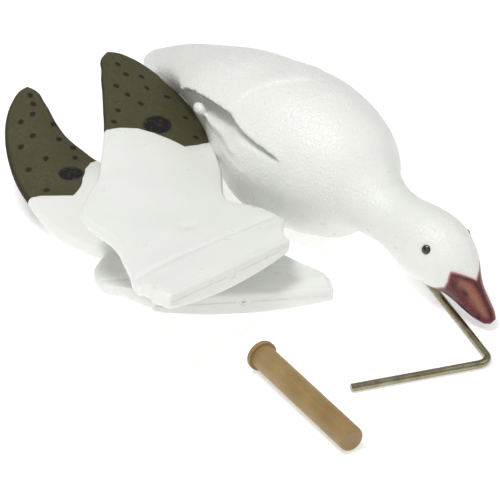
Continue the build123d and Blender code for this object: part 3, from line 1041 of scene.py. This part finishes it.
# Profiles about the eye's axis: radius, height.
EYE_PROFILE = [
    (0.0, 2.3), (1.2, 2.22), (2.4, 1.95), (3.5, 1.5), (4.4, 0.85), (5.0, 0.15), (5.2, -0.6), (5.0, -2.2),
    (3.6, -3.6), (0.0, -4.2),
]
RIM_PROFILE = [(5.3, -1.6), (5.25, -0.4), (5.6, 0.15), (6.2, 0.15), (6.9, -0.35), (7.6, -1.6)]


def build_eye(side, word):
    """A domed glass bead in a slightly raised rim."""
    centre = Vector((EYE_AT[0], side * EYE_AT[1], EYE_AT[2]))
    normal = Vector((EYE_NORMAL[0], side * EYE_NORMAL[1], EYE_NORMAL[2])).normalized()
    spin = normal.to_track_quat("Z", "Y").to_matrix().to_4x4()
    eye = make_turned("eye_bead_" + word, EYE_PROFILE, centre, spin)
    keep(eye, "goose", "eye_black", bead, "eye_" + word)
    rim = make_turned("eye_rim_" + word, RIM_PROFILE, centre, spin)
    keep(rim, "goose", "white_plastic", body_plastic)


def make_turned(name, profile, centre, spin):
    """A body of revolution on the eye's axis; an open profile is closed back on itself."""
    segments = 48
    verts, rows = [], []
    for radius, height in profile:
        ring = []
        for k in range(segments if radius else 1):
            a = 2 * pi * k / segments
            ring.append(len(verts))
            verts.append(centre + spin @ Vector((radius * cos(a), radius * sin(a), height)))
        rows.append(ring)
    if profile[0][0]:
        rows.append(rows[0])
    return new_object(name, [tuple(v) for v in verts], ring_faces(rows), 60)


build_eye(1, "left")
build_eye(-1, "right")

# ================================================================ carried-over CAD pieces
for node, material in (("stake_rod", zinc), ("stake_socket", wing_plastic)):
    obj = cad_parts[node]
    for slot_entry in obj.material_slots:
        slot_entry.material = material

# ================================================================ floor, light and camera
floor_mesh = bpy.data.meshes.new("floor")
FLOOR_HALF, FLOOR_DROP = 6, 0.0004
corners = [(-FLOOR_HALF, -FLOOR_HALF, 0), (FLOOR_HALF, -FLOOR_HALF, 0), (FLOOR_HALF, FLOOR_HALF, 0),
           (-FLOOR_HALF, FLOOR_HALF, 0)]
floor_mesh.from_pydata(corners, [], [(0, 1, 2, 3)])
floor = bpy.data.objects.new("floor", floor_mesh)
floor.location = (0, 0, -FLOOR_DROP)
bpy.context.scene.collection.objects.link(floor)
floor_paint = Paint("floor_paint")
floor_paint.shader.inputs["Base Color"].default_value = (0.80, 0.80, 0.80, 1)
floor_paint.shader.inputs["Emission Color"].default_value = (1.0, 1.0, 1.0, 1)
floor_paint.shader.inputs["Emission Strength"].default_value = 0.46
floor_paint.rough(0.9)
floor_paint.shader.inputs["Specular IOR Level"].default_value = 0.0
floor_mesh.materials.append(floor_paint.material)

world = bpy.data.worlds.new("studio")
world.use_nodes = True
world.node_tree.nodes["Background"].inputs["Color"].default_value = (1.0, 1.0, 1.0, 1)
world.node_tree.nodes["Background"].inputs["Strength"].default_value = 0.42
bpy.context.scene.world = world


def area_light(name, place, aim, size, power):
    """A round soft light at a place, turned to its aim."""
    light = bpy.data.lights.new(name, "AREA")
    light.shape = "DISK"
    light.size = size
    light.energy = power
    obj = bpy.data.objects.new(name, light)
    obj.location = place
    obj.rotation_euler = (Vector(aim) - Vector(place)).to_track_quat("-Z", "Y").to_euler()
    bpy.context.scene.collection.objects.link(obj)


area_light("key", (0.15, -0.70, 1.75), (0.08, -0.05, 0.1), 0.6, 16)
area_light("fill", (1.4, -1.6, 1.0), (0.05, -0.1, 0.05), 1.6, 5)
area_light("side", (1.2, 1.1, 1.5), (0.05, 0.0, 0.05), 1.4, 6)

CAMERA_AT = Vector((1.2800, -1.0159, 0.875))
CAMERA_AIM = Vector((0.0761, -0.0954, 0.0))
camera_data = bpy.data.cameras.new("camera")
camera_data.lens = 115.2
camera_data.sensor_width = 36.0
camera = bpy.data.objects.new("camera", camera_data)
camera.location = CAMERA_AT
camera.rotation_euler = (CAMERA_AIM - CAMERA_AT).to_track_quat("-Z", "Y").to_euler()
bpy.context.scene.collection.objects.link(camera)
bpy.context.scene.camera = camera
bpy.context.scene.view_settings.view_transform = "Standard"
